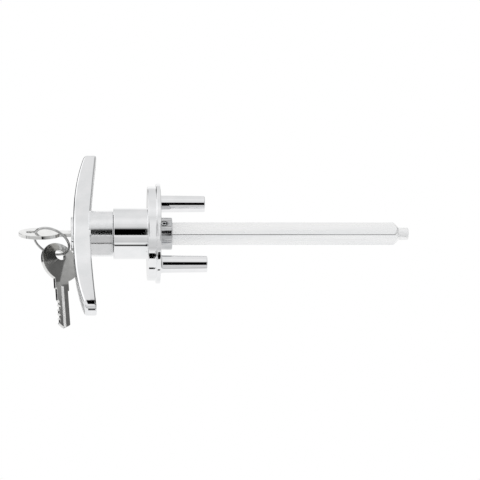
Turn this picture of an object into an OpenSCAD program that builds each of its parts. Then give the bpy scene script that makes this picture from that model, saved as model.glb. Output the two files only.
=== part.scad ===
// Locking T-handle for a garage door, with its square spindle, wafer lock and keys.
// Millimetres. The origin is the centre of the rose's rear face, which lies on the door.
// +X runs through the door along the spindle, and +Z runs up along the T-bar.

/* [Pull bar] */
// Length of the T-bar from end to end
bar_length = 97; // [85:1:110]
// Width across the middle of the T-bar, round the lock
bar_middle_width = 20; // [18.5:0.5:21.5]
// Width of the T-bar towards its ends
bar_end_width = 10; // [8:0.5:13]
// How far along the bar the wide middle reaches
bar_middle_reach = 15; // [11:0.5:18]
// Depth of the T-bar at its middle, front to back
bar_depth = 7.9; // [7:0.1:10]
// How far the front of the bar falls back at its ends
bar_front_sag = 5.8; // [3:0.1:6.5]
// How far the back of the bar falls back at its ends
bar_back_sag = 3.2; // [1.5:0.1:4]
// Rounding of the bar's corners, seen from the front
bar_corner_r = 4; // [1:0.1:4.5]
// Rounding along the bar's front edges
bar_edge_r = 1.3; // [0.5:0.1:2]
// Wall left round the hollow back of the bar
bar_wall = 1.3; // [0.9:0.1:1.8]

/* [Neck and shank] */
// Diameter of the neck behind the bar
neck_d = 22.1; // [20.5:0.1:24]
// Length of the neck, from the bar to the sleeve
neck_length = 11.2; // [9:0.1:14]
// Diameter of the shank that turns in the sleeve
shank_d = 18; // [17.4:0.1:19]
// Diameter of the collar that comes out behind the rose
collar_d = 15.5; // [14:0.1:16.4]
// How far the collar stands out behind the rose
collar_length = 5.8; // [4.5:0.1:9]

/* [Rose] */
// Diameter of the rose's rear flange
flange_d = 48.2; // [46.5:0.1:54]
// Thickness of the rear flange
flange_t = 2.1; // [1.6:0.1:2.3]
// Diameter of the raised disc in front of the flange
disc_d = 45.4; // [40:0.1:46]
// Thickness of the raised disc
disc_t = 4.1; // [3.8:0.1:6]
// Diameter of the fixed sleeve
sleeve_d = 24.6; // [22.6:0.1:27]
// Length of the sleeve in front of the rose
sleeve_length = 16.3; // [15:0.1:20]

/* [Posts] */
// Distance between the two post centres
post_spacing = 38.1; // [33:0.1:38.5]
// Diameter of a post at its root
post_d = 8.4; // [6.5:0.1:8.8]
// Diameter of a post at its free end
post_tip_d = 7.9; // [6:0.1:8.3]
// Length of a post behind the rose
post_length = 22.2; // [16:0.1:30]
// Diameter of the tapped hole in a post
tapped_d = 3.9; // [3:0.1:4.4]
// Depth of the tapped hole
tapped_depth = 16; // [10:0.5:20]

/* [Spindle] */
// Width across the flats of the square spindle
spindle_w = 7.94; // [7:0.02:9]
// Distance from the rose's rear face to the spindle's tip
spindle_reach = 120.65; // [90:0.05:160]
// Diameter of the turned end of the spindle
tenon_d = 6; // [5:0.1:6.8]
// Length of the turned end
tenon_length = 4.85; // [3:0.05:8]
// Length of the cone between the square and the turned end
tenon_cone = 2.4; // [1.5:0.1:4]
// Diameter of the pin through the collar and the spindle
cross_pin_d = 2.5; // [1.5:0.1:3]
// Place of that pin behind the rose's rear face
cross_pin_x = 1.8; // [1.7:0.1:3]

/* [Lock] */
// Outer diameter of the lock's shell
shell_d = 15; // [14.4:0.1:15.2]
// Diameter of the shell's front rim
rim_d = 16.6; // [15.8:0.1:17.5]
// How far the rim stands out in front of the bar
rim_t = 1.1; // [0.9:0.05:1.6]
// Length of the shell behind the rim
shell_length = 17.5; // [17:0.1:17.9]
// Diameter of the plug
plug_d = 11.5; // [11.2:0.1:11.8]
// Diameter of the plug's front flange
plug_head_d = 13.2; // [12.6:0.1:13.6]
// Turn of the key from the photographed place to the locked place
key_turn = 38; // [36:1:40]
// Travel of the locking bolt
bolt_travel = 1.4; // [1:0.1:1.5]
// Distance from the lock's face to the first wafer
first_wafer = 7.8; // [7.4:0.1:8]
// Distance from one wafer to the next
wafer_pitch = 2.4; // [2.2:0.05:2.45]
// Thickness of a wafer
wafer_t = 1.1; // [0.8:0.05:1.25]
// Travel of a wafer
wafer_travel = 0.6; // [0.4:0.05:0.65]

/* [Keys] */
// Thickness of a key
key_t = 1.7; // [1.4:0.05:1.75]
// Diameter of the key's bow
bow_d = 20.4; // [18:0.1:22]
// Distance from the key's shoulder to its ring hole
key_hole_reach = 18.8; // [17.5:0.1:22]
// Diameter of the ring hole
key_hole_d = 5.4; // [5.2:0.1:6.2]
// Width across the key's shoulders
key_shoulder_w = 7.7; // [7:0.1:8]
// Width of the blade
blade_w = 6.3; // [5.8:0.1:6.4]
// Length of the blade from its shoulder
blade_length = 20.6; // [19.5:0.1:20.8]
// Thickness of the key ring's wire
ring_wire_d = 1.2; // [1:0.05:1.3]
// Mean diameter of the key ring
ring_d = 18; // [17.7:0.1:18.4]

/* [Fits] */
// Radial clearance of a turning fit
turning_gap = 0.06; // [0.04:0.01:0.08]
// Clearance between faces that pass each other
face_gap = 0.2; // [0.15:0.01:0.25]
// Clearance round a piece that is only laid in
slip_gap = 0.06; // [0.04:0.01:0.1]

/* [Hidden] */
$fn = 96;

// Places along the axis, from the rose's rear face forwards
disc_front_x = -(flange_t + disc_t);
sleeve_front_x = disc_front_x - sleeve_length;
neck_back_x = sleeve_front_x - face_gap;
bar_back_x = neck_back_x - neck_length;
bar_front_x = bar_back_x - bar_depth;
lock_face_x = bar_front_x - rim_t;

// How far a cut runs past the solid it is made in, and the chamfer on turned ends
over = 1;
chamfer = 0.4;
// Added to the bore of a pin that is pressed in
press_gap = 0.02;
// Flare of the neck where it meets the bar
neck_flare = 0.5;
neck_flare_length = 1.6;

// Rear of the rose: a recess for the retaining ring and its washer
recess_d = collar_d + 5.8;
recess_depth = 2.1;
collar_bore_d = collar_d + 2 * turning_gap;
sleeve_bore_d = shank_d + 2 * turning_gap;
recess_floor_x = -recess_depth;
groove_d = collar_d - 1.5;
snap_t = 0.9;
snap_x = -0.3 - snap_t;
snap_slack = 0.1;
snap_mouth = 5;
washer_t = 0.3;
washer_bow = 0.5;

// Quarter-turn stop: a lug on the shank's end in an arc sunk into the rose
handle_swing = 90;
stop_depth = 1.6;
stop_lug_angle = 24;
stop_slack = 1;

// Bar: each half has its middle, its taper and its rounded end
bar_half = bar_length / 2;
bar_end_flat = 0.8;
bar_end_r = min(bar_corner_r, bar_end_width / 2 - bar_end_flat);
bar_taper_steps = 14;
bar_end_steps = 5;
bar_edge_steps = 3;
front_sag_power = 2.7;
back_sag_power = 1.4;
back_edge_r = 0.6;
pocket_start = neck_d / 2 + 0.6;

// Wafers, in the plug's own frame: they slide along Z, and the key's faces look along Y
wafer_count = 5;
wafer_slot_t = wafer_t + 0.15;
wafer_w = 4.7;
wafer_body_h = 9.2;
wafer_tab_w = 2.4;
wafer_lug_w = 1.3;
wafer_lug_h = 1.2;
wafer_gap = 0.1;
spring_d = 1.2;
spring_wire_d = 0.25;
spring_floor = -3.8;
groove_w = wafer_tab_w + 0.3;
groove_depth = wafer_travel + 0.15;
keyway_w = key_t + 0.2;
keyway_h = blade_w + 0.3;
keyway_depth = blade_length + 0.4;
ward_w = 0.8;
ward_h = 0.35;
blade_groove_w = 1.5;
blade_groove_depth = 0.45;

// Lock parts
shell_bore_d = plug_d + 2 * turning_gap;
shell_end = 0.5;
shell_back_x = max(bar_front_x + shell_length, wafer_x(wafer_count - 1) + wafer_slot_t / 2 + shell_end);
rim_chamfer = 0.3;
plug_head_t = 1;
plug_sink = 0.1;
plug_face_x = lock_face_x + plug_sink;
plug_head_back_x = plug_face_x + plug_head_t;
clip_t = 0.7;
clip_groove_d = plug_d - 1.7;
clip_d = plug_d + 1.7;
clip_x = shell_back_x + face_gap / 2;
cam_length = 3.9;
pin_room = 1.8;
cam_floor = 0.5;
cam_back_x = max(clip_x + clip_t + cam_length + face_gap, lock_face_x + keyway_depth + cam_floor + pin_room);
cam_room_d = plug_d + 2.5;
drive_pin_d = 1.6;
drive_pin_r = 2.6;
drive_pin_gap = 0.1;
slot_lead_in = 22;
slot_run_out = 15;
bolt_w = 5;
bolt_t = 3.7;
bolt_gap = 0.1;
bolt_x = cam_back_x + face_gap;
bolt_back_x = bolt_x + bolt_t;
bolt_tail = 3.5;
socket_x = bolt_back_x + 2.2;
shell_pin_d = 2;
shell_pin_x = bar_front_x + 4.9;
shell_pin_depth = 0.6;
shell_pin_sink = 0.4;
spring_pin_wall = 0.6;
spring_pin_slit = 0.5;
spring_pin_sink = 0.1;

// Key cuts, from the shoulder to the tip: how deep each one is
key_cuts = [0.9, 1.4, 0.7, 1.2, 0.8];
cut_flat = 1;
// How far the slopes at the blade's tip reach along it and across it
tip_cut_side = [2.4, 2.4];
tip_back_side = [2, 3.2];
// How far the blade's groove runs on behind the shoulder
groove_lead = 2;
// Distance from the ring hole to the middle of the bow, towards the blade
bow_centre = 3.9;
// Gap between the key's shoulder and the lock's face
shoulder_gap = 0.1;
shoulder_x = lock_face_x - shoulder_gap;

// The ring leans and turns like this, and passes each key's hole at an angle round itself.
// In a hole the wire lies off the middle by these shares of its play.
ring_lean = 20.8;
ring_heading = 4;
ring_lock_angle = 191;
ring_spare_angle = 61;
hole_play = (key_hole_d - ring_wire_d) / 2;
lock_key_share = [0.69, 0.22, 0.28];
spare_key_share = [-0.06, -0.06, 0.2];
spare_turn = [39.2, 78.5, 71.4];
ring_centre = [shoulder_x - key_hole_reach, 0, 0] + hole_play * lock_key_share - ring_point(ring_lock_angle);
spare_hole = ring_centre + ring_point(ring_spare_angle) - hole_play * spare_key_share;

chrome = [0.86, 0.87, 0.88];
nickel = [0.66, 0.66, 0.65];
zinc = [0.72, 0.74, 0.75];
brass = [0.78, 0.65, 0.36];
steel = [0.55, 0.56, 0.58];

// A round bar along X between two places
module rod(x0, x1, d) {
    translate([x0, 0, 0]) rotate([0, 90, 0]) cylinder(h = x1 - x0, d = d);
}

// A cone along X between two places
module cone(x0, x1, d0, d1) {
    translate([x0, 0, 0]) rotate([0, 90, 0]) cylinder(h = x1 - x0, d1 = d0, d2 = d1);
}

// A round tube along X between two places
module tube(x0, x1, outer, inner) {
    difference() {
        rod(x0, x1, outer);
        rod(x0 - over, x1 + over, inner);
    }
}

// A square-sided block along X, centred on the axis
module bar_block(x0, x1, wide, high) {
    translate([x0, -wide / 2, -high / 2]) cube([x1 - x0, wide, high]);
}

// Turns what is made in the plug's frame to the photographed place of the key
module in_plug() {
    rotate([-key_turn, 0, 0]) children();
}

// A profile of [radius, place along X] points, turned round the X axis
module lathe(points) {
    rotate([0, 90, 0]) rotate_extrude() polygon(points);
}

// A sector of a ring between two places along X, from one angle to another about X
module ring_sector(x0, x1, outer, inner, from, to) {
    reach = outer;
    step = (to - from) / 4;
    intersection() {
        tube(x0, x1, outer, inner);
        rotate([90, 0, 90]) translate([0, 0, x0]) linear_extrude(x1 - x0)
            polygon(concat([[0, 0]], [for (a = [from : step : to + 0.01]) reach * [cos(a), sin(a)]]));
    }
}

// Points of an arc round a centre
function arc(centre, r, from, to, steps) =
    [for (i = [0 : steps]) let (a = from + (to - from) * i / steps) centre + r * [cos(a), sin(a)]];

// Outline of the bar: each distance from its middle has a front, a back and a half width
function end_drop(s, r) = s < bar_half - r ? 0 : r - sqrt(max(0, r * r - pow(s - bar_half + r, 2)));
function bar_front(s) =
    bar_front_x + bar_front_sag * pow(s / bar_half, front_sag_power) + end_drop(s, bar_edge_r);
function bar_back(s) = bar_back_x + bar_back_sag * pow(s / bar_half, back_sag_power);
function bar_half_width(s) =
    (bar_end_width + (bar_middle_width - bar_end_width) * exp(-pow(s / bar_middle_reach, 2))) / 2
    - end_drop(s, bar_end_r);

// Distances from the bar's middle at which it has a section
bar_stations = concat(
    [for (i = [0 : bar_taper_steps - 1]) (bar_half - bar_end_r) * i / bar_taper_steps],
    [for (i = [0 : bar_end_steps]) bar_half - bar_end_r + bar_end_r * sin(90 * i / bar_end_steps)]
);

// One section of the bar, with its front edges rounded
function bar_section(z) =
    let (s = abs(z), f = bar_front(s), b = bar_back(s), w = bar_half_width(s), r = min(bar_edge_r, 0.8 * w),
         half = concat(
             [[b, w - back_edge_r], [b - back_edge_r, w]],
             [for (i = [0 : bar_edge_steps]) let (a = 90 * i / bar_edge_steps)
                 [f + r - r * sin(a), w - r + r * cos(a)]]),
         count = len(half))
    concat([for (p = half) [p[0], p[1], z]], [for (i = [count - 1 : -1 : 0]) [half[i][0], -half[i][1], z]]);

// One section of the hollow in the bar's back, a wall's thickness inside the outline
function pocket_section(z) =
    let (s = abs(z), f = bar_front(s) + 1.2 * bar_wall, b = bar_back(s) + 1, w = bar_half_width(s) - bar_wall)
    [[b, w, z], [f + 0.6, w, z], [f, w - 0.8, z], [f, -w + 0.8, z], [f + 0.6, -w, z], [b, -w, z]];

// A solid through sections that all have the same number of points
module skin(sections) {
    n = len(sections[0]);
    last = len(sections) - 1;
    polyhedron(
        points = [for (section = sections) each section],
        faces = concat(
            [[for (i = [0 : n - 1]) i]],
            [for (k = [0 : last - 1], i = [0 : n - 1]) let (j = (i + 1) % n)
                each [[k * n + i, k * n + n + j, k * n + j], [k * n + i, k * n + n + i, k * n + n + j]]],
            [[for (i = [n - 1 : -1 : 0]) last * n + i]]
        )
    );
}

module bar_outer() {
    lower = [for (i = [len(bar_stations) - 1 : -1 : 1]) -bar_stations[i]];
    skin([for (z = concat(lower, bar_stations)) bar_section(z)]);
}

// The hollow of the upper arm; the lower arm's is its mirror image
module bar_pocket() {
    reach = bar_half - bar_end_r - pocket_start;
    inner = [for (i = [0 : 8]) pocket_start + reach * i / 8];
    skin([for (z = concat(inner, [bar_half - 1.6 * bar_wall])) pocket_section(z)]);
}

module t_handle() {
    color(chrome) difference() {
        union() {
            difference() {
                bar_outer();
                bar_pocket();
                mirror([0, 0, 1]) bar_pocket();
            }
            rod(bar_back_x - 0.05, neck_back_x, neck_d);
            cone(bar_back_x - 0.05, bar_back_x + neck_flare_length, neck_d + 2 * neck_flare, neck_d);
            rod(neck_back_x - over, disc_front_x - face_gap, shank_d);
            rod(disc_front_x - over, collar_length - chamfer, collar_d);
            cone(collar_length - chamfer, collar_length, collar_d, collar_d - 2 * chamfer);
            ring_sector(disc_front_x - over, disc_front_x + stop_depth - face_gap, shank_d - face_gap,
                collar_d - 0.5, -stop_lug_angle / 2, stop_lug_angle / 2);
        }
        rod(bar_front_x - over, shell_back_x, shell_d + 2 * slip_gap);
        rod(shell_back_x - over, cam_back_x + face_gap / 2, cam_room_d);
        bolt_way();
        bar_block(socket_x, collar_length + over, spindle_w + 2 * slip_gap, spindle_w + 2 * slip_gap);
        tube(snap_x - snap_slack, snap_x + snap_t + snap_slack, collar_d + over, groove_d);
        translate([cross_pin_x, collar_d, 0]) rotate([90, 0, 0])
            cylinder(h = 2 * collar_d, d = cross_pin_d + press_gap);
        translate([shell_pin_x, 0, -neck_d / 2 - over]) cylinder(h = neck_d / 2, d = shell_pin_d + press_gap);
    }
}

// Way of the bolt through the shank's wall, with the groove that lets its drive pin in
module bolt_way() {
    translate([bolt_x - bolt_gap, -bolt_tail - bolt_gap, -bolt_w / 2 - bolt_gap])
        cube([bolt_t + 2 * bolt_gap, shank_d, bolt_w + 2 * bolt_gap]);
    translate([bolt_x - pin_room - bolt_gap, cam_room_d / 2 - over, -drive_pin_d / 2 - bolt_gap])
        cube([pin_room + 2 * bolt_gap, shank_d / 2, drive_pin_d + 2 * bolt_gap]);
}

module rose_base() {
    disc_r = disc_d / 2;
    flange_r = flange_d / 2;
    outline = concat(
        [[0, 0], [flange_r - 0.3, 0], [flange_r, -0.3]],
        arc([flange_r - 0.6, -flange_t + 0.6], 0.6, 0, -90, 3),
        [[disc_r, -flange_t]],
        arc([disc_r - 0.9, disc_front_x + 0.9], 0.9, 0, -90, 4),
        [[sleeve_d / 2 + 0.4, disc_front_x], [sleeve_d / 2, disc_front_x - 0.4]],
        [[sleeve_d / 2, sleeve_front_x + 0.3], [sleeve_d / 2 - 0.3, sleeve_front_x], [0, sleeve_front_x]]
    );
    color(chrome) difference() {
        union() {
            lathe(outline);
            for (side = [-1, 1]) translate([0, 0, side * post_spacing / 2]) post();
        }
        rod(sleeve_front_x - over, disc_front_x, sleeve_bore_d);
        rod(disc_front_x - over, over, collar_bore_d);
        rod(recess_floor_x, over, recess_d);
        ring_sector(disc_front_x - over, disc_front_x + stop_depth, sleeve_bore_d, collar_bore_d - 0.5,
            -stop_lug_angle / 2 - stop_slack, handle_swing + stop_lug_angle / 2 + stop_slack);
        for (turn = [0, handle_swing]) rotate([turn, 0, 0]) bolt_notch();
        for (side = [-1, 1]) translate([post_length - tapped_depth, 0, side * post_spacing / 2])
            rod(0, tapped_depth + over, tapped_d);
    }
}

// A post that grows out of the rose, slightly tapered
module post() {
    rod(-over, 0, post_d);
    cone(0, post_length - chamfer, post_d, post_tip_d);
    cone(post_length - chamfer, post_length, post_tip_d, post_tip_d - 2 * chamfer);
}

// The place in the sleeve's bore that the bolt enters
module bolt_notch() {
    deep = bolt_travel + 0.25;
    translate([bolt_x - face_gap, 0, -bolt_w / 2 - face_gap])
        cube([bolt_t + 2 * face_gap, shank_d / 2 + deep, bolt_w + 2 * face_gap]);
}

module cylinder_shell() {
    color(chrome) difference() {
        union() {
            rod(bar_front_x - 0.5, shell_back_x, shell_d);
            rod(lock_face_x + rim_chamfer, bar_front_x, rim_d);
            cone(lock_face_x, lock_face_x + rim_chamfer, rim_d - 2 * rim_chamfer, rim_d);
        }
        rod(lock_face_x - over, shell_back_x + over, shell_bore_d);
        rod(lock_face_x - over, plug_head_back_x + 0.05, plug_head_d + 2 * turning_gap);
        for (turn = [-key_turn, 0]) rotate([turn, 0, 0]) wafer_groove();
        translate([shell_pin_x, 0, -shell_d / 2 - over])
            cylinder(h = over + shell_pin_depth, d = shell_pin_d + press_gap);
    }
}

// A groove in the shell's bore that takes the wafers' ends when the key is out
module wafer_groove() {
    x = lock_face_x + first_wafer - wafer_pitch;
    translate([x, -groove_w / 2, 0])
        cube([shell_back_x + over - x, groove_w, shell_bore_d / 2 + groove_depth]);
}

module cylinder_pin() {
    top = shell_d / 2 - shell_pin_depth + 0.05;
    color(steel) translate([shell_pin_x, 0, -neck_d / 2 + shell_pin_sink])
        cylinder(h = neck_d / 2 - shell_pin_sink - top, d = shell_pin_d);
}

module lock_plug() {
    color(brass) in_plug() difference() {
        union() {
            rod(plug_head_back_x - 0.2, cam_back_x, plug_d);
            rod(plug_face_x, plug_head_back_x, plug_head_d);
        }
        keyway();
        for (i = [0 : wafer_count - 1]) wafer_slot(wafer_x(i));
        tube(clip_x - 0.05, clip_x + clip_t + 0.05, plug_d + over, clip_groove_d);
        translate([cam_back_x - pin_room, 0, 0]) drive_slot();
    }
}

// The keyway, with the ward that runs in the groove of the blade
module keyway() {
    difference() {
        bar_block(plug_face_x - over, lock_face_x + keyway_depth, keyway_w, keyway_h);
        translate([plug_face_x - 2 * over, -keyway_w / 2 - over, -ward_w / 2])
            cube([keyway_depth + 3 * over, over + ward_h, ward_w]);
    }
}

function wafer_x(i) = lock_face_x + first_wafer + wafer_pitch * i;

// Slot across the plug for one wafer, with room beside it for the lug and its spring
module wafer_slot(x) {
    bar_block(x - wafer_slot_t / 2, x + wafer_slot_t / 2, wafer_w + 2 * wafer_gap, plug_d + 2 * over);
    translate([x - wafer_slot_t / 2, 0, spring_floor])
        cube([wafer_slot_t, wafer_w / 2 + wafer_lug_w + wafer_gap,
            wafer_lug_h / 2 + wafer_travel + wafer_gap - spring_floor]);
}

// Spiral slot in the plug's end: it draws the drive pin outwards as the plug turns
module drive_slot() {
    climb = bolt_travel / (key_turn * PI / 180 * drive_pin_r);
    half_w = (drive_pin_d / 2 + drive_pin_gap) * sqrt(1 + climb * climb);
    start = key_turn + slot_lead_in;
    count = 15;
    function centre_r(a) = drive_pin_r + bolt_travel * min(1, max(0, (key_turn - a) / key_turn));
    function side(away) = [for (i = [0 : count]) let (a = start - (start + slot_run_out) * i / count)
        (centre_r(a) + away) * [cos(a), sin(a)]];
    inner = side(-half_w);
    rotate([90, 0, 90]) linear_extrude(pin_room + over)
        polygon(concat(side(half_w), [for (i = [count : -1 : 0]) inner[i]]));
}

module plug_clip() {
    color(steel) in_plug() difference() {
        tube(clip_x, clip_x + clip_t, clip_d, clip_groove_d + 0.1);
        translate([clip_x - over, -clip_d, -clip_groove_d * 0.4])
            cube([clip_t + 2 * over, clip_d, clip_groove_d * 0.8]);
    }
}

// One wafer, rounded at its ends to the plug's own curve, with the window that the key passes
module wafer(i) {
    x = wafer_x(i);
    color(brass) in_plug() difference() {
        intersection() {
            union() {
                bar_block(x - wafer_t / 2, x + wafer_t / 2, wafer_w, wafer_body_h);
                bar_block(x - wafer_t / 2, x + wafer_t / 2, wafer_tab_w, plug_d);
                translate([x - wafer_t / 2, 0, -wafer_lug_h / 2])
                    cube([wafer_t, wafer_w / 2 + wafer_lug_w, wafer_lug_h]);
            }
            rod(x - wafer_t, x + wafer_t, plug_d - 0.1);
        }
        bar_block(x - wafer_t, x + wafer_t, keyway_w + 0.2, blade_w + 0.4);
    }
}

// The spring under a wafer's lug, as the tube that its turns fill
module wafer_spring(i) {
    top = -wafer_lug_h / 2 - 0.02;
    across = wafer_w / 2 + wafer_lug_w / 2 + 0.05;
    color(steel) in_plug() translate([wafer_x(i), across, spring_floor + 0.02]) difference() {
        cylinder(h = top - spring_floor - 0.02, d = min(spring_d, wafer_slot_t - 0.05));
        translate([0, 0, -over])
            cylinder(h = top - spring_floor + 2 * over, d = spring_d - 2 * spring_wire_d);
    }
}

module locking_bolt() {
    color(steel) {
        intersection() {
            translate([bolt_x, -bolt_tail, -bolt_w / 2]) cube([bolt_t, bolt_tail + shank_d / 2, bolt_w]);
            rod(bolt_x - over, bolt_back_x + over, shank_d - bolt_gap);
        }
        translate([bolt_x - pin_room + 0.2, drive_pin_r, 0]) rotate([0, 90, 0])
            cylinder(h = pin_room, d = drive_pin_d);
    }
}

module spindle() {
    square_end_x = spindle_reach - tenon_length - tenon_cone;
    corner_d = spindle_w * sqrt(2);
    color(zinc) difference() {
        union() {
            bar_block(socket_x + 0.2, square_end_x, spindle_w, spindle_w);
            intersection() {
                bar_block(square_end_x, square_end_x + tenon_cone, spindle_w, spindle_w);
                cone(square_end_x, square_end_x + tenon_cone, corner_d, tenon_d);
            }
            rod(square_end_x + tenon_cone, spindle_reach - chamfer, tenon_d);
            cone(spindle_reach - chamfer, spindle_reach, tenon_d, tenon_d - 2 * chamfer);
        }
        translate([cross_pin_x, spindle_w, 0]) rotate([90, 0, 0])
            cylinder(h = 2 * spindle_w, d = cross_pin_d + press_gap);
    }
}

// A rolled spring pin: a tube with a slit along it
module spindle_pin() {
    length = collar_d - 2 * spring_pin_sink;
    color(steel) translate([cross_pin_x, length / 2, 0]) rotate([90, 0, 0]) difference() {
        cylinder(h = length, d = cross_pin_d);
        translate([0, 0, -over]) cylinder(h = length + 2 * over, d = cross_pin_d - 2 * spring_pin_wall);
        translate([0, -spring_pin_slit / 2, -over]) cube([cross_pin_d, spring_pin_slit, length + 2 * over]);
    }
}

module retaining_ring() {
    color(steel) difference() {
        tube(snap_x, snap_x + snap_t, recess_d - 1.4, groove_d + 0.1);
        translate([snap_x - over, -snap_mouth / 2, -recess_d])
            cube([snap_t + 2 * over, snap_mouth, recess_d]);
    }
}

// A thin ring bowed once across its width
module spring_washer() {
    outer = recess_d - 1;
    bow_r = (outer * outer / 4 + washer_bow * washer_bow) / (2 * washer_bow);
    color(steel) intersection() {
        translate([recess_floor_x - bow_r + washer_bow + washer_t + 0.02, outer, 0]) rotate([90, 0, 0])
            difference() {
                cylinder(h = 2 * outer, r = bow_r, $fn = 360);
                translate([0, 0, -over]) cylinder(h = 2 * outer + 2 * over, r = bow_r - washer_t, $fn = 360);
            }
        tube(recess_floor_x, 0, outer, collar_d + 0.5);
    }
}

// A key along X, with its shoulder at 0 and its blade towards +X
module key_blank() {
    hole_x = -key_hole_reach;
    bow_x = hole_x + bow_centre;
    half_b = blade_w / 2;
    cuts = [for (i = [0 : wafer_count - 1]) [first_wafer + wafer_pitch * i, key_cuts[i]]];
    difference() {
        rotate([90, 0, 0]) translate([0, 0, -key_t / 2]) linear_extrude(key_t) difference() {
            union() {
                translate([bow_x, 0]) circle(d = bow_d);
                translate([bow_x, -key_shoulder_w / 2]) square([-bow_x, key_shoulder_w]);
                polygon([[-over, -half_b], [blade_length - tip_cut_side[0], -half_b],
                    [blade_length, -half_b + tip_cut_side[1]], [blade_length, half_b - tip_back_side[1]],
                    [blade_length - tip_back_side[0], half_b], [-over, half_b]]);
            }
            translate([hole_x, 0]) circle(d = key_hole_d);
            for (cut = cuts) let (near = cut_flat / 2, far = near + cut[1] + over) polygon([
                [cut[0] - near, -half_b + cut[1]], [cut[0] + near, -half_b + cut[1]],
                [cut[0] + far, -half_b - over], [cut[0] - far, -half_b - over]]);
        }
        translate([-groove_lead, -key_t, -blade_groove_w / 2])
            cube([groove_lead + blade_length + over, key_t / 2 + blade_groove_depth, blade_groove_w]);
    }
}

module key_in_lock() {
    color(nickel) translate([shoulder_x, 0, 0]) in_plug() key_blank();
}

// A point of the ring's wire at an angle round it, from the ring's centre
function ring_point(a) = let (flat = cos(a) * cos(ring_lean)) ring_d / 2 * [
    flat * cos(ring_heading) - sin(a) * sin(ring_heading),
    flat * sin(ring_heading) + sin(a) * cos(ring_heading),
    -cos(a) * sin(ring_lean)];

module key_ring() {
    color(nickel) translate(ring_centre) rotate([0, ring_lean, ring_heading]) rotate_extrude()
        translate([ring_d / 2, 0]) circle(d = ring_wire_d, $fn = 24);
}

module spare_key() {
    color(nickel) translate(spare_hole) rotate(spare_turn) translate([key_hole_reach, 0, 0]) key_blank();
}

rose_base();
t_handle();
cylinder_shell();
cylinder_pin();
lock_plug();
plug_clip();
wafer(0);  // wafer_1
wafer(1);  // wafer_2
wafer(2);  // wafer_3
wafer(3);  // wafer_4
wafer(4);  // wafer_5
wafer_spring(0);  // wafer_spring_1
wafer_spring(1);  // wafer_spring_2
wafer_spring(2);  // wafer_spring_3
wafer_spring(3);  // wafer_spring_4
wafer_spring(4);  // wafer_spring_5
locking_bolt();
spindle();
spindle_pin();
retaining_ring();
spring_washer();
key_in_lock();
key_ring();
spare_key();
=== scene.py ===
# Looks of the locking garage door T-handle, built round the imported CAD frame.
# Lengths are millimetres in the row frame unless a comment says otherwise, and MM turns them to metres.
import math

import bmesh
import bpy
from mathutils import Euler, Matrix, Vector

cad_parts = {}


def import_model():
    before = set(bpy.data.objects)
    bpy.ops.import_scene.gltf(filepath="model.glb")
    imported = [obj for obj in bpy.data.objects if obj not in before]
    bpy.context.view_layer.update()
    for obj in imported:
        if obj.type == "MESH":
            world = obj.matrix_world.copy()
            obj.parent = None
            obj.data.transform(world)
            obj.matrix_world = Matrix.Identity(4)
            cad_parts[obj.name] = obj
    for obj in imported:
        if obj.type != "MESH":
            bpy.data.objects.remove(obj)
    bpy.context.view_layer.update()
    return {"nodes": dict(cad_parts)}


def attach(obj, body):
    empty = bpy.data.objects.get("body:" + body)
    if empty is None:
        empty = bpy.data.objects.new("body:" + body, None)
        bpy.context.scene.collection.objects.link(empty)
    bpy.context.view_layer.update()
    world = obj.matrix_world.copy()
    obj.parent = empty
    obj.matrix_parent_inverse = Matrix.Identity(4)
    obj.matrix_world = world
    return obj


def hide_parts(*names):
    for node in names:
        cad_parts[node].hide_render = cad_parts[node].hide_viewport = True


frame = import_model()

MM = 0.001
# In metres: points closer than this are one point
WELD = 1e-7
# In degrees: an edge that turns more than this stays sharp
SHARP_ANGLE = 40
# A fillet takes at most this share of the sides that it joins
FILLET_SHARE = 0.49

# Camera: it looks up at the handle from in front of its side, as the photograph does.
# The distance is in metres, and the field and the two turns are in degrees
CAMERA_DISTANCE = 1.2
CAMERA_FIELD = 11.07
CAMERA_LOW = 40.1
CAMERA_YAW = 3.6
AIM_ALONG = 38.8
AIM_UP = -3.04

# T-bar
BAR_HALF = 48.5
BAR_FRONT = -41.8
BAR_BACK = -33.9
BAR_END_HALF_WIDTH = 5
BAR_MIDDLE_HALF_WIDTH = 10
BAR_MIDDLE_REACH = 15
BAR_FRONT_SAG = 5.8
BAR_FRONT_POWER = 2.7
BAR_BACK_SAG = 3.2
BAR_BACK_POWER = 1.4
BAR_CORNER_R = 4
BAR_EDGE_R = 1.3
BAR_LIP_R = 0.8
BAR_CROWN = 0.12
BAR_WALL = 1.3
BAR_FLOOR = 1.56
POCKET_START = 11.6
POCKET_END = 46.4
POCKET_BLEND = 1.2
POCKET_LIP_R = 0.2
STATION_PITCH = 0.75

# Turned parts, as places along X and radii; the groove has its two ends and its radius
STEM_OVERLAP = 0.3
NECK_R = 11.05
NECK_FLARE = 0.25
NECK_BACK = -22.75
SHANK_R = 9
SHANK_BACK = -6.4
COLLAR_R = 7.75
COLLAR_BACK = 5.8
SNAP_GROOVE = (-1.3, -0.2, 7)
LOCK_BORE_R = 7.56
LOCK_BORE_BACK = -24.3
CAM_ROOM_R = 7
CAM_ROOM_BACK = -19.3
SOCKET_X = -13.3
SOCKET_W = 8.06
PIN_X = 1.8
PIN_R = 1.25
PIN_PLAY = 0.16
PIN_RIM_R = 1.6
PIN_RIM_DEPTH = 0.35

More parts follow.
